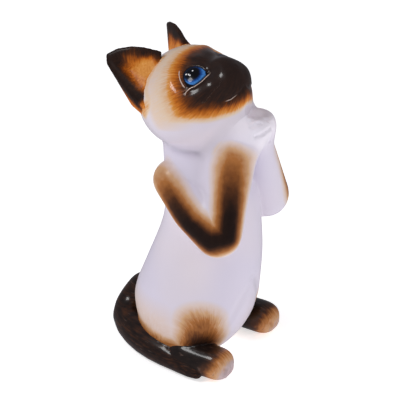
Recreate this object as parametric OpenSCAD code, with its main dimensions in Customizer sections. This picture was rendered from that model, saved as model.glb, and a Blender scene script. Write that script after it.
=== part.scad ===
/* [Figure] */
// Height of the torso casting, from the floor to the neck joint
torso_h = 133; // [120:1:146]
// Width of the haunches, side to side
haunch_w = 69; // [64:1:75]
// Thickness of the slip-cast walls
wall = 4.5; // [3:0.5:6]
// Radius of the round vent in the base
vent_r = 4; // [3:0.5:6]

/* [Head] */
// Radius of the skull
skull_r = 30; // [27:0.5:33]
// How far the face looks up, in degrees
head_pitch = 42; // [35:1:50]
// How far the face turns to the cat's right, in degrees
head_yaw = 9; // [0:1:15]
// Radius of the eye domes
eye_r = 8; // [7:0.25:9]

/* [Limbs] */
// Distance between the two elbows
elbow_gap = 52; // [48:1:56]
// Distance between the centres of the hind feet
feet_gap = 55; // [50:1:60]
// Radius of the tail at its root
tail_r = 9; // [7:0.5:10]

/* [Hidden] */

torso_sides = 36;
head_sides = 32;
tail_sides = 16;
ball_fn = 24;
rim_fn = 12;
far = 400;
tall = torso_h / 133;
wide = haunch_w / 69;

// A curve through the stations, with k steps between one and the next
function spline(a, b, c, d, t) = 0.5 * (2 * b + (c - a) * t + (2 * a - 5 * b + 4 * c - d) * t * t
    + (3 * b - a - 3 * c + d) * t * t * t);
function smooth(s, k) = [for (i = [0:len(s) - 2]) for (j = [0:k - 1])
    spline(s[max(i - 1, 0)], s[i], s[i + 1], s[min(i + 2, len(s) - 1)], j / k), s[len(s) - 1]];

// A closed solid through rings of equal point count, capped flat at both ends
module loft(rings) {
    n = len(rings[0]);
    m = len(rings);
    polyhedron(
        points = [for (r = rings) each r],
        faces = concat(
            [[for (i = [0:n - 1]) i]],
            [[for (i = [0:n - 1]) m * n - 1 - i]],
            [for (k = [0:m - 2]) for (i = [0:n - 1])
                [k * n + i, k * n + n + i, k * n + n + (i + 1) % n]],
            [for (k = [0:m - 2]) for (i = [0:n - 1])
                [k * n + i, k * n + n + (i + 1) % n, k * n + (i + 1) % n]]));
}

// Torso stations: height, centre y, half width, half depth in front, half depth behind
torso_st = [
    [0, 8, 20, 15, 23],
    [4, 7.5, 25, 20, 27],
    [14, 6, 30.5, 27, 31.5],
    [32, 5, 34, 33.5, 35.5],
    [50, 2.5, 33, 34.5, 32],
    [68, -1, 30, 32.5, 28.5],
    [86, -3.5, 27, 29.5, 25],
    [104, -4, 26, 27, 24],
    [120, -1, 24, 24, 22.5],
    [133, 3, 21, 20, 20]];
torso_curve = smooth(torso_st, 2);
haunch_c = [21 * wide, -8, 28 * tall];
haunch_reach = 15;
haunch_swell = 5;
function swell(p, side) = let(off = p - [side * haunch_c[0], haunch_c[1], haunch_c[2]])
    exp(-pow(norm(off) / haunch_reach, 2));
function torso_ring(s, inset) = [for (i = [0:torso_sides - 1]) let(
    turn = 360 * i / torso_sides,
    depth = sin(turn) > 0 ? s[4] : s[3],
    p = [(s[2] * wide - inset) * cos(turn), s[1] + (depth - inset) * sin(turn), s[0] * tall],
    out = inset > 0 ? 0 : haunch_swell * (swell(p, 1) + swell(p, -1)))
    p + out * [cos(turn), sin(turn), 0]];
torso_skin = [for (s = torso_curve) torso_ring(s, 0)];
neck_bore_r = 11;
neck_y = 3;
function neck_ring(z) = [for (i = [0:torso_sides - 1]) let(turn = 360 * i / torso_sides)
    [neck_bore_r * cos(turn), neck_y + neck_bore_r * sin(turn), z]];
// The hollow inside, from the neck down to the floor of the casting
hollow_st = [for (i = [len(torso_curve) - 1:-1:0]) if (torso_curve[i][0] * tall > wall
    && torso_curve[i][0] * tall < torso_h - wall) torso_curve[i]];
torso_hollow = concat([neck_ring(torso_h), neck_ring(torso_h - wall)],
    [for (s = hollow_st) torso_ring(s, wall)]);

vent_y = 16;

module torso_form() loft(torso_skin);
module torso() color("white") difference() {
    loft(concat(torso_skin, torso_hollow));
    translate([0, vent_y, -1]) cylinder(r = vent_r, h = 4 * wall, $fn = 32);
}
head_scale = skull_r / 30;
head_c = [0, 7.7, torso_h + 24.8 * head_scale];
// Head stations along the face's axis: y (front is negative), centre z, half width, half height
head_st = [
    [30, 0, 2, 2], [28, 0, 11, 10.5], [21, 0, 21.5, 20.5], [10, -1, 28.5, 27.5], [0, -1.5, 30, 29],
    [-10, -2, 29, 27.5], [-19, -4, 25, 23.5], [-25, -5.5, 18.8, 20], [-30, -5.5, 13.8, 17.2],
    [-34, -5, 11.2, 14.6], [-37.5, -4.6, 9.2, 11.6], [-40, -4.6, 5.8, 7.2], [-41.2, -4.6, 1.5, 2]];
function head_rings(k) = [for (s = smooth(head_st, k)) [for (i = [0:head_sides - 1])
    let(turn = 360 * i / head_sides) [s[2] * cos(turn), s[0], s[1] + s[3] * sin(turn)]]];
module on_head() translate(head_c) rotate([0, 0, -head_yaw]) rotate([-head_pitch, 0, 0])
    scale(head_scale) children();
module head_form() on_head() loft(head_rings(2));
module head() color("tan") difference() {
    head_form();
    on_head() scale(1 - wall / skull_r) loft(head_rings(1));
    translate([-far / 2, -far / 2, torso_h - far]) cube(far);
}

// Ear, on the left side of the head: rim from the brow over the tip to the cheek, then the back
ear_rim = [[10, -6, 28], [14.5, -1.5, 34.2], [18, 3, 38.2], [21.5, 9, 41], [25, 14, 41.5], [26.5, 15.3, 38],
           [27.3, 13, 27], [27.7, 10.5, 16], [27, 6, 6]];
ear_back = [[14, 16, 22], [25, 17, 12], [24.5, 14, 5]];
ear_edge_r = 1.2;
cup = [[13, -7, 28], [18, -2, 34], [22, 4, 38], [26.2, 11.3, 38], [31, 8, 26], [31, 2, 9], [28, 1, 10],
       [22, 0.5, 19], [22.5, 8.5, 29]];
module ear(side) color("sienna") difference() {
    on_head() mirror([side < 0 ? 1 : 0, 0, 0]) difference() {
        hull() for (p = concat(ear_rim, ear_back)) translate(p) sphere(ear_edge_r, $fn = rim_fn);
        hull() for (p = cup) translate(p) sphere(ear_edge_r, $fn = rim_fn);
    }
    head_form();
}
module right_ear() ear(-1);
module left_ear() ear(1);

// Eye domes are luted on the face, one either side of the muzzle
eye_c = [12, -19, 5.5];
module eye(side) color("royalblue") difference() {
    on_head() translate([side * eye_c[0], eye_c[1], eye_c[2]]) hull() sphere(eye_r / head_scale, $fn = 32);
    head_form();
}
module right_eye() eye(-1);
module left_eye() eye(1);

shoulder = [19 * wide, 8, 114.5 * tall];
elbow = [elbow_gap / 2, -24.5, 93 * tall];
wrist = [9.5, -28, 133 * tall];
upper_arm = (shoulder + elbow) / 2 - [0, 0, 1.3];
shoulder_r = 11.5;
upper_arm_r = 13.6;
elbow_r = 13;
wrist_r = 9;
module bone(a, ra, b, rb) hull() {
    translate(a) sphere(ra, $fn = ball_fn);
    translate(b) sphere(rb, $fn = ball_fn);
}
// Everything past the wrist joint, along the forearm
module beyond_wrist() translate(wrist) rotate([0, 0, atan2(wrist[1] - elbow[1], wrist[0] - elbow[0])])
    rotate([0, acos((wrist[2] - elbow[2]) / norm(wrist - elbow)), 0])
    translate([-far / 2, -far / 2, 0]) cube(far);
module arm(side) color("saddlebrown") mirror([side < 0 ? 1 : 0, 0, 0]) difference() {
    union() {
        bone(shoulder, shoulder_r, upper_arm, upper_arm_r);
        bone(upper_arm, upper_arm_r, elbow, elbow_r);
        bone(elbow, elbow_r, wrist, wrist_r);
    }
    torso_form();
    beyond_wrist();
}
module right_arm() arm(-1);
module left_arm() arm(1);

// Forepaws, clasped under the chin and meeting on the middle plane
knuckle = [5, -31.5, 148 * tall];
paw_r = 9.6;
module paw(side) color("white") mirror([side < 0 ? 1 : 0, 0, 0]) intersection() {
    hull() {
        translate(wrist) sphere(wrist_r, $fn = ball_fn);
        translate(knuckle) sphere(paw_r, $fn = ball_fn);
    }
    beyond_wrist();
    translate([0, -far / 2, 0]) cube(far);
}
module right_paw() paw(-1);
module left_paw() paw(1);

// Hind feet: the toes' y on each side, and the heel hidden under the belly
toe_y = [-24, -22];
heel_y = -4;
feet_mid = 1.5;
foot_h = 18.5;
foot_w = 20;
module foot_form(side) intersection() {
    translate([feet_mid + side * feet_gap / 2, 0, foot_h / 2]) hull() {
        translate([0, toe_y[side < 0 ? 0 : 1], 0]) scale([foot_w / 2, foot_w / 2, foot_h / 2])
            sphere(1, $fn = 32);
        translate([0, heel_y, 0]) scale([foot_w / 2, foot_w / 2, foot_h / 2]) sphere(1, $fn = 32);
    }
    translate([-far / 2, -far / 2, 0]) cube(far);
}
module foot(side) color("sienna") difference() {
    foot_form(side);
    torso_form();
}
module right_foot() foot(-1);
module left_foot() foot(1);

// Tail stations: centre x, y, z and radius as a share of the root's
tail_st = [[6, 36, 30, 0.6], [3, 40, 25, 1], [-1, 45.5, 17, 1], [-10, 45, 10, 1], [-20.5, 32, 8.2, 0.97],
    [-27, 16, 7.5, 0.92], [-30.5, 0, 6.5, 0.77], [-34, -12, 5, 0.5], [-36, -18.5, 4, 0.2]];
tail_path = smooth(tail_st, 2);
function unit(v) = v / norm(v);
function tail_ring(i) = let(
    last = len(tail_path) - 1,
    s = tail_path[i],
    a = tail_path[max(i - 1, 0)],
    b = tail_path[min(i + 1, last)],
    ahead = unit([b[0] - a[0], b[1] - a[1], b[2] - a[2]]),
    side = unit(cross(ahead, [0, 0, 1])),
    up = cross(side, ahead))
    [for (k = [0:tail_sides - 1]) let(turn = 360 * k / tail_sides)
        [s[0], s[1], s[2]] + s[3] * tail_r * (cos(turn) * side + sin(turn) * up)];
module tail() color("saddlebrown") difference() {
    intersection() {
        loft([for (i = [0:len(tail_path) - 1]) tail_ring(i)]);
        translate([-far / 2, -far / 2, 0]) cube(far);
    }
    torso_form();
    foot_form(-1);
}

torso();
head();
right_ear();
left_ear();
right_eye();
left_eye();
right_arm();
left_arm();
right_paw();
left_paw();
right_foot();
left_foot();
tail();
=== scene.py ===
"""Sitting point-coated cat figurine in glazed ceramic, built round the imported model."""
from math import radians, sin, cos, pi

import bmesh
import bpy
import numpy as np
from mathutils import Matrix, Vector
from mathutils.bvhtree import BVHTree


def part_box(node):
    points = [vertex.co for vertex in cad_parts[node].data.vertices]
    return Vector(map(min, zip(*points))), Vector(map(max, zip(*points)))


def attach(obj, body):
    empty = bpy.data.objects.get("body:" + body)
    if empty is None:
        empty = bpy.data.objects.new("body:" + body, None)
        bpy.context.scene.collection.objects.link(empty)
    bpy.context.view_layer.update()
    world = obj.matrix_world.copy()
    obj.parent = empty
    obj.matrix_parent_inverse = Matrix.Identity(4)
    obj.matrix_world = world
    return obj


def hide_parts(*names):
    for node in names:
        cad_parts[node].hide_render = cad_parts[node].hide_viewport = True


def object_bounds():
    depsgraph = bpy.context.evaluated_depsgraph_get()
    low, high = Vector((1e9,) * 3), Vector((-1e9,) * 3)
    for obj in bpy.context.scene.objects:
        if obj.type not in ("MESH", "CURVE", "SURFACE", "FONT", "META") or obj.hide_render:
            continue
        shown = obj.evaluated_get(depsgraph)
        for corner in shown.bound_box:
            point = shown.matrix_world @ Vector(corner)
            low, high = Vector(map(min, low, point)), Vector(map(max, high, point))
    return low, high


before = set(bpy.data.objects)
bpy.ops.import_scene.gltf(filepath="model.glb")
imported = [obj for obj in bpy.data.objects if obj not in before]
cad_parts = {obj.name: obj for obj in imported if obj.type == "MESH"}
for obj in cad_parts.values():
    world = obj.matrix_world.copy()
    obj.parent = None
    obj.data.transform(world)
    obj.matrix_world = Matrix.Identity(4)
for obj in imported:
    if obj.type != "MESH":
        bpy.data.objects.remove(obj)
cad_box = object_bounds()

# Modelling runs in millimetres, and each finished mesh goes into the frame's metres
MM = 0.001
CASTINGS = ("torso", "head", "right_ear", "left_ear", "right_arm", "left_arm", "right_paw", "left_paw",
            "right_foot", "left_foot", "tail")
CLAY_MM = 0.65
SEAM_REACH = 8.0
CONE_DEPTH = 12
# Balls of clay pressed in between the chin, the neck and each forearm: x, y, z and radius
FILLET_CLAY = ((9, -18.5, 141, 8), (10.5, -18, 134, 8.5), (12, -18, 126, 9), (15, -18, 118, 9.5),
               (9.5, -22.4, 150.2, 6), (10.8, -20, 146.5, 6), (11, -12, 137, 6.5), (9.8, -5.3, 131.3, 6))
# The same under the right of the chin, where the right forepaw leaves it
CHIN_CLAY = ((-6.8, -25.6, 156.4, 5.5), (-8.2, -24.4, 153.6, 5.8))
# The vent stays open as a short blind hole, and a plug inside keeps the skin one surface
VENT_PLUG_C = (0, 16, 6)
VENT_PLUG_R = 7
VENT_PLUG_LONG = 6


def mm(point):
    return np.array(point, float) / MM


def smoothstep(low, high, x):
    t = np.clip((x - low) / (high - low), 0, 1)
    return t * t * (3 - 2 * t)


# Where things are, from the frame
JOINT_Z = mm(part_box("torso")[1])[2]
HEAD_C = np.array([0, 7.7, JOINT_Z + 24.8])
HEAD_TURN = np.array(Matrix.Rotation(radians(-9), 3, "Z") @ Matrix.Rotation(radians(-42), 3, "X"))


def on_head(*point):
    """A place given in the head's own axes: x to its left, y backwards, z to the crown"""
    return HEAD_C + HEAD_TURN @ np.array(point, float)


def head_axes(co):
    """Points in the head's own axes"""
    return (co - HEAD_C) @ HEAD_TURN


# ---------------------------------------------------------------- the clay

class Clay:
    """A closed lump that is worked by moving its points"""

    def __init__(self, mesh):
        self.mesh = mesh
        self.co = np.empty(len(mesh.vertices) * 3)
        mesh.vertices.foreach_get("co", self.co)
        self.co = self.co.reshape(-1, 3) / MM
        edges = np.empty(len(mesh.edges) * 2, int)
        mesh.edges.foreach_get("vertices", edges)
        self.a, self.b = edges.reshape(-1, 2).T
        self.links = np.bincount(self.a, minlength=len(self.co)) + np.bincount(self.b, minlength=len(self.co))
        self.settle()

    def settle(self):
        """Writes the points back and takes their normals afresh"""
        self.mesh.vertices.foreach_set("co", (self.co * MM).ravel())
        self.mesh.update()
        self.no = np.empty(len(self.co) * 3)
        self.mesh.vertex_normals.foreach_get("vector", self.no)
        self.no = self.no.reshape(-1, 3)

    def averaged(self, values):
        total = np.zeros_like(values)
        for k in range(values.shape[1]):
            total[:, k] = np.bincount(self.a, values[self.b, k], len(values))
            total[:, k] += np.bincount(self.b, values[self.a, k], len(values))
        return total / self.links[:, None]

    def spread(self, values, weight, rounds):
        """Values evened out over the surface where weight is above 0"""
        step = 0.5 * np.broadcast_to(weight, len(self.co))[:, None]
        values = values.copy()
        for _ in range(rounds):
            values += step * (self.averaged(values) - values)
        return values

    def relax(self, weight, rounds):
        """Smooths the surface where weight is above 0, and keeps its bulk"""
        smooth = self.spread(self.co, weight, rounds)
        self.co = smooth + self.spread(self.co - smooth, weight, rounds)
        self.settle()

    def soften(self, path, reach, rounds):
        """Fills and blends the hollows near path"""
        fade = np.clip(1 - (self.away(path) / reach) ** 2, 0, 1)
        self.co = self.spread(self.co, fade, rounds)
        self.settle()

    def away(self, path):
        """Distance of every point from a line through the places in path"""
        best = np.full(len(self.co), 1e9)
        path = np.array(path, float).reshape(-1, 3)
        if len(path) == 1:
            return np.linalg.norm(self.co - path[0], axis=1)
        for p, q in zip(path[:-1], path[1:]):
            along = q - p
            t = np.clip((self.co - p) @ along / (along @ along), 0, 1)
            best = np.minimum(best, np.linalg.norm(self.co - p - t[:, None] * along, axis=1))
        return best

    def swell(self, path, reach, height):
        """Raises the surface by height along its normals near path, or lowers it if height is below 0"""
        fade = np.clip(1 - (self.away(path) / reach) ** 2, 0, 1) ** 2
        self.co += (height * fade)[:, None] * self.no

    def emboss(self, heights):
        """Raises every point by its own height"""
        self.co += heights[:, None] * self.no
        self.settle()


def lump():
    """All the castings as one closed outer skin"""
    bm = bmesh.new()
    for node in CASTINGS:
        bm.from_mesh(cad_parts[node].data)
    bmesh.ops.create_cone(bm, cap_ends=True, segments=32, radius1=VENT_PLUG_R * MM, radius2=VENT_PLUG_R * MM,
                          depth=VENT_PLUG_LONG * MM, matrix=Matrix.Translation(Vector(VENT_PLUG_C) * MM))
    mirrored = tuple((-x, y, z, r) for x, y, z, r in FILLET_CLAY)
    for x, y, z, r in FILLET_CLAY + mirrored + CHIN_CLAY:
        place = Matrix.Translation(Vector((x, y, z)) * MM)
        bmesh.ops.create_icosphere(bm, subdivisions=4, radius=r * MM, matrix=place)
    mesh = bpy.data.meshes.new("lump")
    bm.to_mesh(mesh)
    bm.free()
    clay = bpy.data.objects.new("lump", mesh)
    bpy.context.scene.collection.objects.link(clay)
    remesh = clay.modifiers.new("one_skin", "REMESH")
    remesh.mode = "VOXEL"
    remesh.voxel_size = CLAY_MM * MM
    solid = bpy.data.meshes.new_from_object(clay.evaluated_get(bpy.context.evaluated_depsgraph_get()))
    bpy.data.objects.remove(clay)
    keep_outer(solid)
    return solid


def keep_outer(mesh):
    """Drops the skin of the hollow inside"""
    bm = bmesh.new()
    bm.from_mesh(mesh)
    top = max(bm.verts, key=lambda v: v.co.z)
    seen = {top}
    edge = [top]
    while edge:
        reached = [e.other_vert(v) for v in edge for e in v.link_edges]
        edge = [v for v in dict.fromkeys(reached) if v not in seen]
        seen.update(edge)
    bmesh.ops.delete(bm, geom=[v for v in bm.verts if v not in seen], context="VERTS")
    bm.to_mesh(mesh)
    bm.free()


def distances(co):
    """Distance of every point from every casting, up to SEAM_REACH"""
    found = np.full((len(CASTINGS), len(co)), SEAM_REACH)
    for row, node in zip(found, CASTINGS):
        bm = bmesh.new()
        bm.from_mesh(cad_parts[node].data)
        tree = BVHTree.FromBMesh(bm)
        bm.free()
        low, high = (mm(corner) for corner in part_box(node))
        near = np.all((co > low - SEAM_REACH) & (co < high + SEAM_REACH), axis=1)
        for i in np.flatnonzero(near):
            hit = tree.find_nearest(co[i] * MM, SEAM_REACH * MM)
            if hit[3] is not None:
                row[i] = hit[3] / MM
    return found


# Castings that run into each other without a crease
BLENDED = (("torso", "head"), ("right_arm", "right_paw"), ("left_arm", "left_paw"))


def off_crease(found):
    """0 along the creases between castings, rising to 1 where the surface is far from one"""
    rows = {node: found[i] for i, node in enumerate(CASTINGS)}
    for first, second in BLENDED:
        rows[first] = np.minimum(rows[first], rows.pop(second))
    ordered = np.sort(np.array(list(rows.values())), axis=0)
    return smoothstep(0.3, 5.0, ordered[1] - ordered[0])


def off_base(co):
    """0 at the flat base, rising to 1 a little above it"""
    return smoothstep(0.5, 6, co[:, 2])


def on_ears(found):
    """1 on the ears, falling to 0 off them"""
    nearest = np.minimum(found[CASTINGS.index("right_ear")], found[CASTINGS.index("left_ear")])
    return 1 - smoothstep(0.5, 3.0, nearest)


# ---------------------------------------------------------------- the eyes

EYE_C = (-14, -24.8, 7.6)
EYE_N = (-0.513, -0.703, 0.492)
EYE_U = (0.808, -0.589, 0)
EYE_V = (0.290, 0.398, 0.870)
BALL_R = 14
BALL_RISE = 0.1
BALL_REACH = 10.5
# How deep the skin lies under the eyeball's front, and how much the lids stand over it
SKIN_SUNK = 1.3
LID_HIGH = 0.55
UPPER_LID_MORE = 0.25
# The eye's opening, in its own plane: u runs to the nose and v to the crown
OPENING = ((8.4, -3.0), (7.3, -0.4), (6.0, 2.6), (3.4, 5.4), (0, 6.9), (-3.1, 6.6), (-5.4, 4.6),
           (-6.7, 1.0), (-6.9, -2.6), (-5.6, -4.5), (-2.8, -5.4), (0.9, -5.2), (4.7, -4.1))
LOWER_LID = ((-10.2, -7.0), (-8.4, -5.5), (-6, -5.1), (-3, -5.8), (1, -5.7), (4.8, -4.5), (8.9, -3.0))
OUTER_LID = ((-5.0, 7.8), (-6.6, 5.4), (-7.7, 2), (-8, -1.0), (-7.8, -3.2))


def eye_basis(side):
    """Centre and the three axes of an eye, side -1 the cat's right and 1 its left"""
    flip = np.array([-side, 1, 1])
    turn = [HEAD_TURN @ (flip * np.array(axis)) for axis in (EYE_U, EYE_V, EYE_N)]
    return on_head(*(flip * np.array(EYE_C))), np.array(turn)


def eye_axes(co, side):
    """Points in an eye's axes: u, v and the height over its plane"""
    centre, turn = eye_basis(side)
    return (co - centre) @ turn.T


def rounded(corners, closed, cuts=8):
    """A smooth line through corners"""
    pts = [np.array(p, float) for p in corners]
    n = len(pts)
    line = []
    for i in range(n if closed else n - 1):
        if closed:
            p0, p1, p2, p3 = (pts[(i + k) % n] for k in (-1, 0, 1, 2))
        else:
            p0, p1, p2, p3 = (pts[min(max(i + k, 0), n - 1)] for k in (-1, 0, 1, 2))
        for t in np.arange(cuts) / cuts:
            line.append(0.5 * (2 * p1 + (p2 - p0) * t + (2 * p0 - 5 * p1 + 4 * p2 - p3) * t ** 2
                               + (3 * p1 - p0 - 3 * p2 + p3) * t ** 3))
    return np.array(line if not closed else line + line[:1])


def beside(flat, line):
    """Signed distance of flat points from a line, above 0 on its left, and how far along it they are"""
    best = np.full(len(flat), 1e9)
    side = np.ones(len(flat))
    along = np.zeros(len(flat))
    for i, (p, q) in enumerate(zip(line[:-1], line[1:])):
        d = q - p
        t = np.clip((flat - p) @ d / (d @ d), 0, 1)
        gap = flat - p - t[:, None] * d
        far = np.hypot(gap[:, 0], gap[:, 1])
        nearer = far < best
        best = np.where(nearer, far, best)
        side = np.where(nearer, np.sign(d[0] * gap[:, 1] - d[1] * gap[:, 0]), side)
        along = np.where(nearer, (i + t) / (len(line) - 1), along)
    return best * side, along


def socket(clay, side):
    """Opens the lids over an eyeball"""
    local = eye_axes(clay.co, side)
    near = np.flatnonzero(np.linalg.norm(local, axis=1) < 18)
    spot = local[near]
    out = -beside(spot[:, :2], rounded(OPENING, True))[0]
    from_ball = spot - np.array([0, 0, BALL_RISE - BALL_R])
    radius = np.linalg.norm(from_ball, axis=1)
    height = radius - BALL_R
    lid = LID_HIGH + UPPER_LID_MORE * smoothstep(-2, 5, spot[:, 1])
    wanted = -SKIN_SUNK + (SKIN_SUNK + lid) * smoothstep(-0.75, 0.75, out)
    hold = 1 - smoothstep(0.9, 5.5, out)
    clay.co[near] += (hold * (wanted - height) / radius)[:, None] * (from_ball @ eye_basis(side)[1])
    ring = np.zeros(len(clay.co))
    ring[near] = smoothstep(2, 4, out) * (1 - smoothstep(9, 12, out))
    clay.co = clay.spread(clay.co, ring, 25)
    clay.settle()


def lid_lines(clay, side):
    """The fine raised edges of the lids"""
    local = eye_axes(clay.co, side)
    raised = np.zeros(len(clay.co))
    close = np.linalg.norm(local, axis=1) < 16
    for line, height in ((LOWER_LID, 0.4), (OUTER_LID, 0.2)):
        off, along = beside(local[close, :2], rounded(line, False))
        ends = smoothstep(0, 0.12, along) * (1 - smoothstep(0.9, 1, along))
        raised[close] += height * ends * np.clip(1 - (off / 1.1) ** 2, 0, 1) ** 2
    clay.emboss(raised)


# ---------------------------------------------------------------- sculpting

# In the head's axes
BROW = ((5, -25, 15), (11, -20, 19), (17, -13, 17))
MOUTH = ((-13, -31, -12.5), (-9, -35, -14), (-4, -39, -13.5), (0, -42, -11.5), (4, -39, -13.5), (9, -35, -14),
         (13, -31, -12.5))


def face(clay):
    """Brow, nose, muzzle, cheeks and chin"""
    for side in (-1, 1):
        clay.swell([on_head(side * x, y, z) for x, y, z in BROW], 6, 0.7)
        clay.swell([on_head(side * 8.5, -36.5, -4)], 9, 1.0)
        clay.swell([on_head(side * 17.5, -26, -2.5)], 8, 0.8)
        clay.swell([on_head(side * 12, -31, 3.5)], 6, -0.5)
    clay.settle()
    clay.swell([on_head(-3, -29, 11), on_head(3, -29, 11)], 6, -1.2)
    clay.swell([on_head(0, -43, -1)], 6, 0.8)
    clay.swell([on_head(0, -38, -19)], 7, 0.5)
    clay.swell([on_head(18.2, -16.8, 13.5), on_head(20, -17.5, 10)], 8, -2.2)
    clay.settle()
    clay.swell([on_head(*point) for point in MOUTH], 2.2, -0.9)
    clay.swell([on_head(0, -42, 1), on_head(0, -45, -4), on_head(0, -43, -11)], 1.7, -0.7)
    for side in (-1, 1):
        clay.swell([on_head(side * 3, -44, -4.5)], 1.6, -0.8)
    clay.settle()


def foot_corners(side):
    """Low and high corner of a hind foot's box"""
    return tuple(mm(corner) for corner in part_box("left_foot" if side > 0 else "right_foot"))


def toes(clay, side):
    """Grooves between the toes of a hind foot"""
    low, high = foot_corners(side)
    mid = (low[0] + high[0]) / 2
    front = low[1] + 1
    for off in (-4.2, 0, 4.2):
        groove = [(mid + off, front + 7, 15), (mid + 1.15 * off, front, 9), (mid + 1.1 * off, front, 2)]
        clay.swell(groove, 2.4, -1.9)
    clay.settle()


# The right forepaw closes over the left one, whose edge shows past its toes
CLASP_MIDDLE = ((0, -34, 160), (0, -39, 156), (0, -41, 150), (0, -40, 143), (0, -36, 137))
CLASP_EDGE = ((2, -32, 157.3), (3.2, -36, 155.6), (3.8, -39, 152), (4.8, -40.6, 146), (4.5, -39.5, 140))
TOE_GROOVES = (((-8.3, -33.6, 156.4), (-6, -34, 156.8), (-3.7, -34.2, 157)),
               ((-9.8, -35.4, 155), (-6, -37, 155), (-3.2, -37.6, 154.8)),
               ((-10.8, -38.8, 150), (-4.5, -40.6, 150.3), (1.8, -40.8, 150)))


def clasp(clay):
    """The clasped forepaws: one over the other, with grooves between the toes"""
    clay.soften(CLASP_MIDDLE, 5.5, 60)
    clay.swell(CLASP_MIDDLE[2:], 6, 0.7)
    clay.swell([(0, -31, 160), (5, -34, 158)], 8, -3.0)
    clay.settle()
    clay.swell(CLASP_EDGE, 2.2, -1.3)
    for groove in TOE_GROOVES:
        clay.swell(groove, 2.0, -1.1)
    clay.settle()


# Hollows on the left that are filled on both sides, and the one under the right of the chin
INSIDE_ARM = ((12, -20, 146), (14, -19, 132), (20, -19, 118), (28, -20, 107))
UNDER_JAW = ((19, 2, 136), (15, -6, 135), (16, -13, 139), (14, -21, 148))
RIGHT_CHIN = ((-13, -23, 151), (-11, -26.5, 156), (-10, -27.5, 159))


def bent_arms(clay):
    """Runs the inside of each bent arm into the chest and the paw into the chin"""
    for side in (-1, 1):
        clay.soften([(side * x, y, z) for x, y, z in INSIDE_ARM], 13, 120)
        clay.soften([(side * x, y, z) for x, y, z in UNDER_JAW], 7, 90)
    clay.soften(RIGHT_CHIN, 5, 60)


THIGH_FOLD = ((2, -34, 54), (9, -31, 44), (15, -28, 34), (19, -26, 22))


def thighs(clay):
    """The folds between the thighs and the belly"""
    for side in (-1, 1):
        clay.swell([(side * x, y, z) for x, y, z in THIGH_FOLD], 5, -1.1)
    clay.settle()


# ---------------------------------------------------------------- cutting the pieces

def label(clay_mesh, found):
    """Nearest casting of every point, with stray patches given to their neighbours"""
    owner = found.argmin(axis=0)
    edges = np.empty(len(clay_mesh.edges) * 2, int)
    clay_mesh.edges.foreach_get("vertices", edges)
    a, b = edges.reshape(-1, 2).T
    for _ in range(3):
        votes = np.zeros((len(CASTINGS), len(owner)))
        np.add.at(votes, (owner[b], a), 1)
        np.add.at(votes, (owner[a], b), 1)
        alone = votes[owner, np.arange(len(owner))] <= 1
        owner = np.where(alone, votes.argmax(axis=0), owner)
    return owner


def cut(clay, found):
    """The skin with its edges cut where two castings are equally near, and the casting of every face"""
    owner = label(clay.mesh, found)
    bm = bmesh.new()
    bm.from_mesh(clay.mesh)
    skin = bm.verts.layers.float_vector.new("skin")
    tag = bm.faces.layers.int.new("casting")
    bm.verts.index_update()
    for v in bm.verts:
        v[skin] = clay.no[v.index]
    rows = list(owner)
    seam = []
    for e in list(bm.edges):
        v0, v1 = e.verts
        one, two = rows[v0.index], rows[v1.index]
        if one == two:
            continue
        f0 = found[two, v0.index] - found[one, v0.index]
        f1 = found[one, v1.index] - found[two, v1.index]
        share = min(max(f0 / max(f0 + f1, 1e-6), 0.04), 0.96)
        seam.append(bmesh.utils.edge_split(e, v0, share)[1])
    fresh = set(seam)
    bmesh.ops.connect_verts(bm, verts=seam)
    bm.faces.ensure_lookup_table()
    owners = {}
    for f in bm.faces:
        held = [rows[v.index] for v in f.verts if v not in fresh]
        owners[f] = max(set(held), key=held.count) if held else None
    for f, held in owners.items():
        if held is None:
            owners[f] = next(owners[g] for e in f.edges for g in e.link_faces if owners[g] is not None)
    for f, held in owners.items():
        f[tag] = held
    return bm


def close_rims(part):
    """Closes every open rim with a hidden cone that points into the body"""
    skin = part.verts.layers.float_vector["skin"]
    left = {e for e in part.edges if e.is_boundary}
    while left:
        rim = {left.pop()}
        edge = list(rim)
        while edge:
            reached = {f for e in edge for v in e.verts for f in v.link_edges} & left
            left -= reached
            rim |= reached
            edge = list(reached)
        points = {v for e in rim for v in e.verts}
        outward = sum((v[skin] for v in points), Vector()) / len(points)
        apex = sum((v.co for v in points), Vector()) / len(points) - outward * CONE_DEPTH * MM
        tip = part.verts.new(apex)
        tip[skin] = outward
        for e in rim:
            loop = e.link_loops[0]
            part.faces.new((loop.link_loop_next.vert, loop.vert, tip))


def piece_of(skin_bm, node):
    """One casting as a closed mesh: its part of the skin, with the hidden lute faces filled in"""
    part = skin_bm.copy()
    tag = part.faces.layers.int["casting"]
    wanted = CASTINGS.index(node)
    bmesh.ops.delete(part, geom=[f for f in part.faces if f[tag] != wanted], context="FACES")
    close_rims(part)
    bmesh.ops.recalc_face_normals(part, faces=part.faces)
    for f in part.faces:
        f.smooth = True
    skin = part.verts.layers.float_vector["skin"]
    normals = [v[skin].normalized() for v in part.verts]
    mesh = bpy.data.meshes.new(node + "_glazed")
    part.to_mesh(mesh)
    part.free()
    mesh.normals_split_custom_set_from_vertices(normals)
    return mesh


# ---------------------------------------------------------------- painting

def store(mesh, name, values):
    """Keeps painted values with the points of a mesh"""
    kind = "FLOAT_VECTOR" if values.ndim == 2 else "FLOAT"
    layer = mesh.attributes.new(name, kind, "POINT")
    layer.data.foreach_set("vector" if values.ndim == 2 else "value", values.astype(np.float32).ravel())


def points_of(mesh):
    co = np.empty(len(mesh.vertices) * 3)
    mesh.vertices.foreach_get("co", co)
    return co.reshape(-1, 3) / MM


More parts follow.
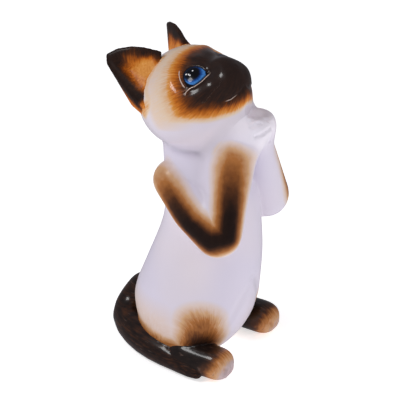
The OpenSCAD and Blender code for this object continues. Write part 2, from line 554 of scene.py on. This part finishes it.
def along_path(co, path):
    """Distance of points from a line of places, the share along it, and the values carried at its places"""
    path = np.array(path, float)
    best = np.full(len(co), 1e9)
    value = np.zeros((len(co), path.shape[1] - 3))
    length = np.zeros(len(co))
    gone = 0.0
    for p, q in zip(path[:-1], path[1:]):
        d = q[:3] - p[:3]
        size = np.linalg.norm(d)
        t = np.clip((co - p[:3]) @ d / size ** 2, 0, 1)
        far = np.linalg.norm(co - p[:3] - t[:, None] * d, axis=1)
        nearer = far < best
        best = np.where(nearer, far, best)
        length = np.where(nearer, gone + t * size, length)
        value = np.where(nearer[:, None], p[3:] + t[:, None] * (q[3:] - p[3:]), value)
        gone += size
    return best, length, value


# How far the dark face reaches from the muzzle, in degrees, going round from the chin to the crown
MASK_TURN = (-90, -56, -30, -14, 8, 37, 60, 90)
MASK_REACH = (28, 39, 53, 68, 65, 60, 57, 56)


def mask(co):
    """How dark the face paint is, and the coordinates of its brush strokes"""
    local = head_axes(co)
    size = np.linalg.norm(local, axis=1)
    reach = np.degrees(np.arccos(np.clip(-local[:, 1] / size, -1, 1)))
    turn = np.degrees(np.arctan2(local[:, 2], np.abs(local[:, 0]) + 1e-6))
    edge = np.interp(turn, MASK_TURN, MASK_REACH)
    q = reach / edge
    shade = np.interp(q, (0.0, 0.62, 0.76, 0.86, 0.94, 1.04, 1.18, 1.42, 1.7),
                      (0.97, 0.91, 0.73, 0.5, 0.36, 0.18, 0.12, 0.1, 0))
    # The cream border is widest at the temples and thin under the jaw
    shade = shade * (1 - 0.55 * smoothstep(1.0, 1.2, q) * (1 - smoothstep(-40, 0, turn)))
    around = np.arctan2(local[:, 2], local[:, 0])
    strokes = np.stack([40 * np.cos(around), 40 * np.sin(around), np.radians(reach) * 30 / 6], axis=1)
    return shade, strokes


# The dark band down each arm, with how strong and how wide it is at each place
ARM_BAND = ((27.5, 14, 122, 0.3, 1.1), (28.5, 10, 118, 0.42, 1.1), (30.3, 5, 113.5, 0.62, 1.1),
            (32.5, -2, 107.5, 0.9, 1), (36, -12, 100, 1, 1.05),
            (37, -26, 94.5, 1, 1.1), (32, -34, 97, 1, 1), (29, -34, 110, 1, 1), (25, -31.5, 121, 0.78, 1.15),
            (20, -29, 131, 0.58, 1.3), (15.5, -29, 139, 0.4, 1.25), (12, -29, 147, 0, 1.1))
BAND_PROFILE = ((0, 3.2, 5.6, 7.8, 10.2, 14.0), (0.97, 0.9, 0.6, 0.38, 0.17, 0))
# The left arm's band sits a little farther out and back
LEFT_BAND_SHIFT = (1.5, 3.5, 0)


def band(co, on_body):
    """How dark the arm paint is. On the body it keeps to the inside of the bent arm"""
    left = co[:, :1] > 0
    flipped = co * np.where(left, 1, np.array([[-1, 1, 1]])) - np.where(left, np.array([LEFT_BAND_SHIFT]), 0)
    far, _, values = along_path(flipped, ARM_BAND)
    shade = np.interp(far / values[:, 1], *BAND_PROFILE) * values[:, 0]
    if on_body:
        shoulder, elbow = ARM_BAND[1], ARM_BAND[5]
        below = elbow[2] + (co[:, 1] - elbow[1]) * (shoulder[2] - elbow[2]) / (shoulder[1] - elbow[1])
        shade = shade * smoothstep(0, 4, co[:, 2] - below)
    return shade


# The middle of the tail, from its root to its tip
TAIL_LINE = ((6, 36, 30), (3, 40, 25), (-1, 45.5, 17), (-10, 45, 10), (-20.5, 32, 8.2), (-27, 16, 7.5),
             (-30.5, 0, 6.5), (-34, -12, 5), (-36, -18.5, 4))
# The dark fan over a hind foot, with how strong it is at each place, and its fade by distance
THIGH_FAN = ((29.5, -17.5, 7, 1), (29, -15.5, 19, 1), (29.5, -15, 31, 0.55))
FAN_PROFILE = ((0, 4, 7.5, 11, 14.5, 18.5, 24), (0.95, 0.92, 0.72, 0.44, 0.26, 0.1, 0))


def thigh_paint(co):
    """The dark fan over each hind foot, a warm tint round the foot of the body and tan beside the tail"""
    side = np.where(co[:, :1] < 0, -1, 1)
    flipped = co * np.hstack([side, np.ones_like(co[:, 1:])])
    far, _, strength = along_path(flipped, THIGH_FAN)
    fan_shade = np.interp(far, *FAN_PROFILE) * strength[:, 0]
    tint = 0.18 * (1 - smoothstep(14, 60, co[:, 2])) * smoothstep(-26, 8, co[:, 1])
    from_tail, _, _ = along_path(co, TAIL_LINE)
    beside_tail = np.interp(from_tail, (8, 10.5, 14.5, 22), (0.5, 0.38, 0.22, 0))
    return np.maximum(np.maximum(fan_shade, tint), beside_tail)


# Where each ear meets the skull, in the head's axes, and how far its tan runs out on to the head
EAR_ROOT = ((10, -7, 28.3, 0.34), (14.3, -3.9, 26.3, 0.3), (16.9, -2.1, 23.1, 0.2), (21.4, 0.9, 18.7, 0.14),
            (24.9, 2.2, 14.5, 0.12), (27.8, 1, 8.9, 0.12), (28, 4.5, 7, 0.2), (27.3, 10.8, 5.4, 0.24))


def ear_root(co):
    """Tan that fades out from the foot of each ear"""
    local = head_axes(co)
    local[:, 0] = np.abs(local[:, 0])
    far, _, strength = along_path(local, EAR_ROOT)
    return strength[:, 0] * (1 - smoothstep(0.5, 6.5, far))


# The clasped paws get a painted highlight: a whiter white than the bare body, whose shade stands below the
# shade of the bare body
LIT_PAWS_C = (-3, -36, 152)
BARE = 0.05
# Where the strokes over a thigh fan out from, and the height that they end at
FOOT_X = 28
FOOT_Z = 6
SPRAYED_Z = 75


def coat(co, node):
    """Shade and brush strokes of everything but the ears, feet and tail"""
    # Painted highlight: round the clasped paws the shade falls from the bare glaze to the whiter first colour
    # stop
    bare_or_paw_highlight = BARE * smoothstep(7, 19, np.linalg.norm(co - np.array(LIT_PAWS_C), axis=1))
    shade = np.maximum(np.maximum(band(co, node == "torso"), thigh_paint(co)), bare_or_paw_highlight)
    if node == "head":
        face_shade, strokes = mask(co)
        over_joint = smoothstep(-4, 2, co[:, 2] - JOINT_Z)
        shade = np.maximum(shade, np.maximum(face_shade, ear_root(co)) * over_joint)
    else:
        # Sprayed smooth above, and brushed out from the foot below
        across = np.abs(co[:, 0]) - FOOT_X
        rise = co[:, 2] - FOOT_Z
        around = np.arctan2(rise, across)
        brushed = np.stack([40 * np.cos(around), 40 * np.sin(around), np.hypot(across, rise) / 7], axis=1)
        strokes = np.where(co[:, 2:] < SPRAYED_Z, brushed, 0)
    return shade, strokes


# The crown edge of an ear, from its inner foot to its tip and down its outer edge, in the head's axes
EAR_RIM = ((11, -4.5, 28.5), (16, 4, 38), (21, 10, 41), (25.5, 15.5, 41.5), (27.5, 13.5, 30), (28.5, 10, 17),
           (28, 6, 7))
EAR_POCKET = ((27, 7.5, 8), (25.5, 9, 13))
EAR_TIP = (25, 14.5, 40.5)
# Where an ear's paint thins out at its inner foot, seen from the side, and at its outer foot
EAR_INNER_FOOT = (0, 26)
EAR_OUTER_FOOT = (28.5, 6, 5)


def ear_paint(co):
    """Tan inside, dark round the rim, at the tip and down in the pocket"""
    local = head_axes(co)
    side = np.where(local[:, :1] < 0, -1, 1)
    local = local * np.hstack([side, np.ones_like(local[:, 1:])])
    rim, run, _ = along_path(local, EAR_RIM)
    pocket, _, _ = along_path(local, EAR_POCKET)
    tip = np.linalg.norm(local - np.array(EAR_TIP), axis=1)
    dark = np.interp(rim, (0, 3.0, 5.2, 8.5), (0.98, 0.9, 0.6, 0.36))
    dark = np.maximum(dark, np.interp(tip, (0, 7, 11, 16), (1, 0.9, 0.6, 0.3)))
    dark = np.maximum(dark, np.interp(pocket, (0, 3.4, 5.2, 8), (1, 0.95, 0.6, 0.3)))
    foot = smoothstep(1, 7, np.linalg.norm(local[:, 1:] - np.array(EAR_INNER_FOOT), axis=1))
    foot = foot * smoothstep(3, 8, np.linalg.norm(local - np.array(EAR_OUTER_FOOT), axis=1))
    dark = np.maximum(dark * (0.4 + 0.6 * foot), 0.3)
    strokes = np.stack([local[:, 0], rim / 6, run], axis=1)
    return dark, strokes


# The left foot's dark comes this much nearer to its toes
LEFT_FOOT_DARKER = 3


def foot_paint(co, side):
    """Dark over the instep, brown, then warm grey at the toes, where the grey is white glaze greyed with
    painted shade
    """
    back = co[:, 1] - foot_corners(side)[0][1] + 0.45 * co[:, 2] + (LEFT_FOOT_DARKER if side > 0 else 0)
    dark = np.interp(back, (2, 6, 9, 13, 17, 22), (0.08, 0.14, 0.28, 0.48, 0.8, 0.97))
    return dark, co * np.array([1, 0.15, 0.15])


TAIL_SHADE = 0.9


def tail_paint(co):
    """One dark coat, brushed along the tail"""
    far, run, _ = along_path(co, TAIL_LINE)
    return np.full(len(co), TAIL_SHADE), np.stack([co[:, 2], far, run / 12], axis=1)


# ---------------------------------------------------------------- materials

def srgb(red, green, blue):
    """A colour mixed in display values, in linear light"""
    return tuple(((v / 255 + 0.055) / 1.055) ** 2.4 for v in (red, green, blue)) + (1,)


# Airbrushed body colours and the warmer brushed ones of the face and ears, from the whiter painted highlight
# of the clasped paws through bare glaze to full dark
BODY_COLOURS = ((0.0, (253, 250, 255)), (0.05, (232, 226, 233)), (0.12, (232, 214, 202)),
                (0.26, (214, 170, 126)), (0.42, (178, 114, 60)), (0.58, (132, 78, 38)),
                (0.74, (78, 44, 24)), (0.9, (38, 23, 17)), (1.0, (24, 14, 12)))
FACE_COLOURS = ((0.0, (253, 250, 255)), (0.05, (232, 226, 233)), (0.12, (238, 212, 180)),
                (0.26, (226, 155, 70)), (0.42, (202, 112, 28)), (0.58, (150, 76, 16)),
                (0.74, (86, 44, 16)), (0.9, (44, 27, 20)), (1.0, (32, 20, 16)))
# The two lowest stops are white glaze greyed with painted shade, for the toe tips
FOOT_COLOURS_WITH_TOE_SHADE = ((0.0, (190, 174, 182)), (0.16, (194, 172, 172)), (0.27, (208, 162, 120)),
                (0.42, (186, 122, 68)), (0.58, (132, 80, 42)), (0.74, (80, 48, 30)),
                (0.9, (42, 29, 24)), (1.0, (28, 20, 18)))
# Colour of the painted highlight along the lid edges and the mouth
LINE_HIGHLIGHT_COLOUR = (214, 190, 176)
SCRATCH_COLOUR = (116, 94, 84)
# How far the brush strokes and the speckle carry the shade of a half-painted place
STROKE_SWING = 14
SPECK_SWING = 0.6
SPECULAR = 0.12
COAT_IOR = 1.5


class Mixer:
    """Adds nodes to a material one at a time"""

    def __init__(self, name):
        self.material = bpy.data.materials.new(name)
        self.material.use_nodes = True
        self.tree = self.material.node_tree
        self.shader = self.tree.nodes["Principled BSDF"]

    def add(self, kind, links=(), **settings):
        node = self.tree.nodes.new(kind)
        for key, value in settings.items():
            setattr(node, key, value)
        for socket_name, value in dict(links).items():
            if hasattr(value, "is_output"):
                self.tree.links.new(value, node.inputs[socket_name])
            else:
                node.inputs[socket_name].default_value = value
        return node

    def painted(self, name, out="Fac"):
        return self.add("ShaderNodeAttribute", attribute_name=name).outputs[out]

    def noise(self, vector, scale, detail=2.0, roughness=0.5):
        node = self.add("ShaderNodeTexNoise", {"Vector": vector, "Scale": scale, "Detail": detail,
                                               "Roughness": roughness})
        return node.outputs["Fac"]

    def math(self, operation, a, b=0.0):
        return self.add("ShaderNodeMath", {0: a, 1: b}, operation=operation).outputs[0]

    def spread(self, value, low, high, new_low, new_high):
        node = self.add("ShaderNodeMapRange", {"Value": value, "From Min": low, "From Max": high,
                                               "To Min": new_low, "To Max": new_high})
        return node.outputs[0]

    def ramp(self, value, stops):
        node = self.add("ShaderNodeValToRGB", {"Fac": value})
        elements = node.color_ramp.elements
        while len(elements) < len(stops):
            elements.new(0.5)
        for element, (place, colour) in zip(elements, stops):
            element.position = place
            element.color = srgb(*colour)
        return node.outputs["Color"]

    def mix(self, share, first, second, blend_type="MIX"):
        node = self.add("ShaderNodeMix", {0: share, 6: first, 7: second}, data_type="RGBA",
                        blend_type=blend_type)
        return node.outputs[2]

    def into(self, name, value):
        if hasattr(value, "is_output"):
            self.tree.links.new(value, self.shader.inputs[name])
        else:
            self.shader.inputs[name].default_value = value

    def glossy(self, roughness=0.35, coat=0.5, coat_roughness=0.12):
        self.into("Roughness", roughness)
        self.into("Specular IOR Level", SPECULAR)
        self.into("Coat Weight", coat)
        self.into("Coat Roughness", coat_roughness)
        self.into("Coat IOR", COAT_IOR)


def fired_coat(name, brush, colours=BODY_COLOURS):
    """Sprayed and brushed underglaze colour under a clear glaze, from the painted shade"""
    m = Mixer(name)
    place = m.add("ShaderNodeTexCoord").outputs["Object"]
    shade = m.painted("shade")
    hairs = m.noise(m.painted("strokes", "Vector"), 1.1, 2.0, 0.6)
    mottle = m.noise(place, 320, 3.0)
    # Strokes show where the colour is neither full nor absent
    over_bare = m.math("MAXIMUM", m.math("SUBTRACT", shade, 0.08), 0.0)
    partial = m.math("MULTIPLY", over_bare, m.math("SUBTRACT", 1.12, shade))
    swing = m.math("MULTIPLY", m.math("SUBTRACT", hairs, 0.5), brush * STROKE_SWING)
    speck = m.math("MULTIPLY", m.math("SUBTRACT", mottle, 0.5), SPECK_SWING)
    worked = m.math("MULTIPLY", partial, m.math("ADD", swing, speck))
    colour = m.ramp(m.math("ADD", worked, shade), colours)
    return m, place, shade, colour


def white_drift(m, place, colour, shade):
    """Slow warm and cool drift of the white glaze"""
    drift = m.noise(place, 22, 1.0)
    tint = m.ramp(drift, ((0.35, (236, 234, 253)), (0.65, (250, 243, 246))))
    share = m.math("SUBTRACT", 0.6, shade)
    return m.mix(share, colour, tint, "MULTIPLY")


def plain_glaze(name):
    m, place, shade, colour = fired_coat(name, 0.1)
    m.into("Base Color", white_drift(m, place, colour, shade))
    m.glossy(0.4, 0.15)
    return m.material


def face_glaze():
    """The painted mask, with fine light lines of painted highlight along the lids and the mouth"""
    m, place, shade, colour = fired_coat("face_glaze", 0.15, FACE_COLOURS)
    on_highlight_line = m.spread(m.math("ABSOLUTE", m.painted("line")), 0.12, 0.32, 1, 0)
    # Painted highlight: a thin light line where the line value is near 0
    drawn = m.math("MULTIPLY", on_highlight_line, m.painted("highlight_line_ends"))
    colour = white_drift(m, place, colour, shade)
    m.into("Base Color", m.mix(drawn, colour, srgb(*LINE_HIGHLIGHT_COLOUR)))
    m.glossy()
    return m.material


def ear_glaze():
    m, _, _, colour = fired_coat("ear_glaze", 0.12, FACE_COLOURS)
    m.into("Base Color", colour)
    m.glossy(0.5, 0.1, 0.2)
    return m.material


def scratched(m, colour, amount):
    """Fine light hairs scratched through the dark colour"""
    hairs = m.noise(m.painted("strokes", "Vector"), 1.6, 1.0, 0.4)
    patch = m.noise(m.painted("strokes", "Vector"), 0.25, 1.0)
    line = m.spread(hairs, 0.66, 0.74, 0, amount)
    shown = m.math("MULTIPLY", line, m.spread(patch, 0.45, 0.6, 0, 1))
    return m.mix(shown, colour, srgb(*SCRATCH_COLOUR))


def foot_glaze():
    m, _, _, colour = fired_coat("foot_glaze", 0.12, FOOT_COLOURS_WITH_TOE_SHADE)
    m.into("Base Color", scratched(m, colour, 0.5))
    m.glossy()
    return m.material


def tail_glaze():
    m, _, _, colour = fired_coat("tail_glaze", 0.2)
    m.into("Base Color", scratched(m, colour, 0.6))
    m.glossy()
    return m.material


IRIS_COLOURS = ((0.0, (6, 6, 10)), (0.52, (7, 8, 14)), (0.62, (14, 30, 66)), (0.76, (28, 82, 158)),
                (0.9, (72, 140, 214)), (0.97, (30, 70, 130)), (1.0, (9, 14, 28)))
LID_SHADOW = (8, 10, 20)
GLINT_COLOUR = (250, 250, 252)


def eye_glaze():
    """Blue iris with a dark pupil, darker towards the upper lid, and small painted lights"""
    m = Mixer("eye_glaze")
    spoke = m.noise(m.painted("iris_rays", "Vector"), 1.4, 2.0)
    ring = m.math("ADD", m.painted("iris"), m.spread(spoke, 0.3, 0.7, -0.04, 0.04))
    blue = m.ramp(ring, IRIS_COLOURS)
    colour = m.mix(m.painted("iris_shade"), blue, srgb(*LID_SHADOW))
    glint = m.spread(m.painted("glint"), 0.25, -0.1, 0, 1)
    m.into("Base Color", m.mix(glint, colour, srgb(*GLINT_COLOUR)))
    m.glossy(0.2, 0.25, 0.02)
    return m.material


# ---------------------------------------------------------------- the eyeballs

IRIS_C = (0.2, 0.3)
IRIS_R = 6.0
PUPIL_C = (-0.3, 1.8)
PUPIL_R = 3.7
# Painted lights: the middle, the half width and the half height of each
GLINTS = (((-3.3, 3.3), 0.45, 0.45), ((-2.3, 2.2), 0.42, 0.5),
          ((-2.0, 1.2), 0.38, 0.4), ((0.6, 2.9), 0.4, 0.4))


def eye_place(centre, turn, radius, height, angle):
    """A place on the eyeball, in metres"""
    return (centre + turn.T @ np.array([radius * cos(angle), radius * sin(angle), height])) * MM


def eyeball(side):
    """A domed eye, closed behind, under the lids of one side"""
    centre, turn = eye_basis(side)
    rings, spokes = 40, 96
    bm = bmesh.new()
    rows = []
    for i in range(rings + 1):
        angle = np.arcsin(BALL_REACH / BALL_R) * i / rings
        radius, height = BALL_R * sin(angle), BALL_R * cos(angle) - BALL_R + BALL_RISE
        count = 1 if i == 0 else spokes
        places = [eye_place(centre, turn, radius, height, 2 * pi * k / spokes) for k in range(count)]
        rows.append([bm.verts.new(place) for place in places])
    back = bm.verts.new((centre - turn[2] * (BALL_R - (BALL_R ** 2 - BALL_REACH ** 2) ** 0.5 + 1.5)) * MM)
    for k in range(spokes):
        j = (k + 1) % spokes
        bm.faces.new((rows[0][0], rows[1][k], rows[1][j]))
        bm.faces.new((back, rows[-1][j], rows[-1][k]))
        for one, two in zip(rows[1:-1], rows[2:]):
            bm.faces.new((one[k], two[k], two[j], one[j]))
    bmesh.ops.recalc_face_normals(bm, faces=bm.faces)
    for f in bm.faces:
        f.smooth = True
    mesh = bpy.data.meshes.new(("left" if side > 0 else "right") + "_eye_glazed")
    bm.to_mesh(mesh)
    bm.free()
    return mesh


def paint_eye(mesh, side):
    """Iris, its rays, the shade under the upper lid and the painted lights"""
    flat = eye_axes(points_of(mesh), side)[:, :2]
    out = -beside(flat, rounded(OPENING, True))[0]
    from_iris = flat - np.array(IRIS_C)
    from_pupil = flat - np.array(PUPIL_C)
    pull = np.hypot(*from_iris.T) / IRIS_R
    hole = np.hypot(*from_pupil.T) / PUPIL_R
    store(mesh, "iris", np.minimum(1.02, np.maximum(pull ** 2, 0.55 * np.minimum(hole, 1.6))))
    angle = np.arctan2(from_iris[:, 1], from_iris[:, 0])
    store(mesh, "iris_rays", np.stack([6 * np.cos(angle), 6 * np.sin(angle), pull], axis=1))
    high = smoothstep(0.5, 5.0, flat[:, 1] - 0.45 * flat[:, 0])
    rim = smoothstep(-1.5, -0.4, out)
    store(mesh, "iris_shade", np.maximum(high * 0.95, rim * 0.9))
    glint = np.full(len(flat), 9.0)
    for (u, v), wide, tall in GLINTS:
        glint = np.minimum(glint, np.hypot((flat[:, 0] - u) / wide, (flat[:, 1] - v) / tall) - 1)
    store(mesh, "glint", glint)


# ---------------------------------------------------------------- building

def shape_clay():
    """The whole skin, sculpted, with the distance of its points from every casting"""
    clay = Clay(lump())
    found = distances(clay.co)
    weight = off_crease(found) * (1 - 0.9 * on_ears(found)) * off_base(clay.co)
    clay.relax(weight, 120)
    clay.relax(0.6 * off_base(clay.co), 4)
    bent_arms(clay)
    face(clay)
    for side in (-1, 1):
        socket(clay, side)
        lid_lines(clay, side)
        toes(clay, side)
    clasp(clay)
    thighs(clay)
    low, high = (mm(corner) for corner in cad_box)
    clay.co = np.clip(clay.co, low, high)
    clay.settle()
    return clay, found


def paint_piece(mesh, node):
    """The shade and the brush strokes of one casting"""
    co = points_of(mesh)
    side = 1 if node.startswith("left") else -1
    if node.endswith("ear"):
        shade, strokes = ear_paint(co)
    elif node.endswith("foot"):
        shade, strokes = foot_paint(co, side)
    elif node == "tail":
        shade, strokes = tail_paint(co)
    else:
        shade, strokes = coat(co, node)
    store(mesh, "shade", shade)
    store(mesh, "strokes", strokes)


# A painted highlight: the fine light line along the right of the mouth, in the head's axes
MOUTH_HIGHLIGHT_LINE = ((-11.4, -30.6, -12.9), (-8.4, -33.6, -13.7), (-5, -37, -13))


def paint_line_highlights(mesh):
    """Signed distance from the nearest lid edge or the mouth line, and where that line of painted highlight
    is drawn
    """
    co = points_of(mesh)
    local = head_axes(co)
    far, run, _ = along_path(local, MOUTH_HIGHLIGHT_LINE)
    corners = np.array(MOUTH_HIGHLIGHT_LINE)
    line = far * np.where(local[:, 2] > np.interp(local[:, 0], corners[:, 0], corners[:, 2]), 1, -1)
    ends = 0.7 * smoothstep(0.5, 3, run) * (1 - smoothstep(6, 9, run))
    for side in (-1, 1):
        spot = eye_axes(co, side)
        close = np.flatnonzero(np.linalg.norm(spot, axis=1) < 16)
        for lid in (LOWER_LID, OUTER_LID):
            off, along = beside(spot[close, :2], rounded(lid, False))
            nearer = np.abs(off) < np.abs(line[close])
            line[close[nearer]] = off[nearer]
            fade = smoothstep(0, 0.1, along) * (1 - smoothstep(0.9, 1, along))
            ends[close[nearer]] = fade[nearer]
    store(mesh, "line", line)
    store(mesh, "highlight_line_ends", ends)


SLOTS = {"torso": "body_glaze", "head": "face_glaze", "ear": "ear_glaze", "eye": "eye_glaze",
         "arm": "arm_glaze", "paw": "body_glaze", "foot": "foot_glaze", "tail": "tail_glaze"}
GLAZES = {"body_glaze": plain_glaze("body_glaze"), "face_glaze": face_glaze(), "ear_glaze": ear_glaze(),
          "eye_glaze": eye_glaze(), "arm_glaze": plain_glaze("arm_glaze"), "foot_glaze": foot_glaze(),
          "tail_glaze": tail_glaze()}


def show(mesh, node):
    """Puts a finished piece in its CAD node's place"""
    piece = bpy.data.objects.new(node + "_glazed", mesh)
    bpy.context.scene.collection.objects.link(piece)
    slot_name = SLOTS[node.split("_")[-1]]
    mesh.materials.append(GLAZES[slot_name])
    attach(piece, "root")
    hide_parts(node)


def build():
    clay, found = shape_clay()
    skin = cut(clay, found)
    for node in CASTINGS:
        mesh = piece_of(skin, node)
        paint_piece(mesh, node)
        if node == "head":
            paint_line_highlights(mesh)
        show(mesh, node)
    skin.free()
    for side, node in ((-1, "right_eye"), (1, "left_eye")):
        mesh = eyeball(side)
        paint_eye(mesh, side)
        show(mesh, node)


# ---------------------------------------------------------------- the stage

VIEW_TURN = radians(-59)
VIEW_RISE = radians(30)
VIEW_FAR = 1.5
LENS = 236.25
SENSOR = 36
BACK = Vector((sin(VIEW_TURN) * cos(VIEW_RISE), -cos(VIEW_TURN) * cos(VIEW_RISE), sin(VIEW_RISE)))
ACROSS = Vector((cos(VIEW_TURN), sin(VIEW_TURN), 0))
UP = BACK.cross(ACROSS)
AIM = ACROSS * -0.002286 + UP * 0.081714


WORLD_COLOUR = (0.93, 0.92, 1, 1)
WORLD_STRENGTH = 0.23
FLOOR_HALF = 4
FLOOR_GLOW = 0.62


def camera():
    data = bpy.data.cameras.new("camera")
    data.lens = LENS
    data.sensor_width = SENSOR
    shot = bpy.data.objects.new("camera", data)
    shot.location = AIM + BACK * VIEW_FAR
    shot.rotation_mode = "QUATERNION"
    shot.rotation_quaternion = (-BACK).to_track_quat("-Z", "Y")
    bpy.context.scene.collection.objects.link(shot)
    bpy.context.scene.camera = shot


def soft_box(name, direction, far, size, watts, mirrored=True):
    """A square light that faces the figurine from a direction"""
    data = bpy.data.lights.new(name, "AREA")
    data.size = size
    data.energy = watts
    lamp = bpy.data.objects.new(name, data)
    lamp.visible_glossy = mirrored
    direction = direction.normalized()
    lamp.location = AIM + direction * far
    lamp.rotation_mode = "QUATERNION"
    lamp.rotation_quaternion = (-direction).to_track_quat("-Z", "Y")
    bpy.context.scene.collection.objects.link(lamp)


def lights():
    soft_box("key", BACK * 0.9 + UP * 0.75 - ACROSS * 0.75, 1.0, 0.28, 3.1)
    soft_box("fill", BACK * 0.8 + ACROSS * 1.0 + UP * 0.2, 1.2, 0.5, 2.8, False)
    soft_box("top", BACK * 0.5 + ACROSS * 0.6 + UP, 1.2, 0.4, 1.3, False)
    soft_box("side", BACK * 0.2 - ACROSS * 1.0 + UP * 0.5, 1.2, 0.5, 1.2, False)
    world = bpy.data.worlds.new("studio")
    world.use_nodes = True
    background = world.node_tree.nodes["Background"]
    background.inputs["Color"].default_value = WORLD_COLOUR
    background.inputs["Strength"].default_value = WORLD_STRENGTH
    bpy.context.scene.world = world


def floor():
    """Bright paper that the glaze doesn't mirror"""
    mesh = bpy.data.meshes.new("floor")
    bm = bmesh.new()
    bmesh.ops.create_grid(bm, x_segments=1, y_segments=1, size=FLOOR_HALF)
    bm.to_mesh(mesh)
    bm.free()
    ground = bpy.data.objects.new("floor", mesh)
    m = Mixer("paper")
    fibre = m.noise(m.add("ShaderNodeTexCoord").outputs["Object"], 60, 2.0)
    m.into("Base Color", m.ramp(fibre, ((0.3, (248, 248, 249)), (0.7, (252, 252, 252)))))
    m.into("Roughness", 0.9)
    m.into("Emission Color", (1, 1, 1, 1))
    m.into("Emission Strength", FLOOR_GLOW)
    mesh.materials.append(m.material)
    bpy.context.scene.collection.objects.link(ground)
    ground.visible_glossy = False


build()
camera()
lights()
floor()
bpy.context.scene.view_settings.view_transform = "Standard"
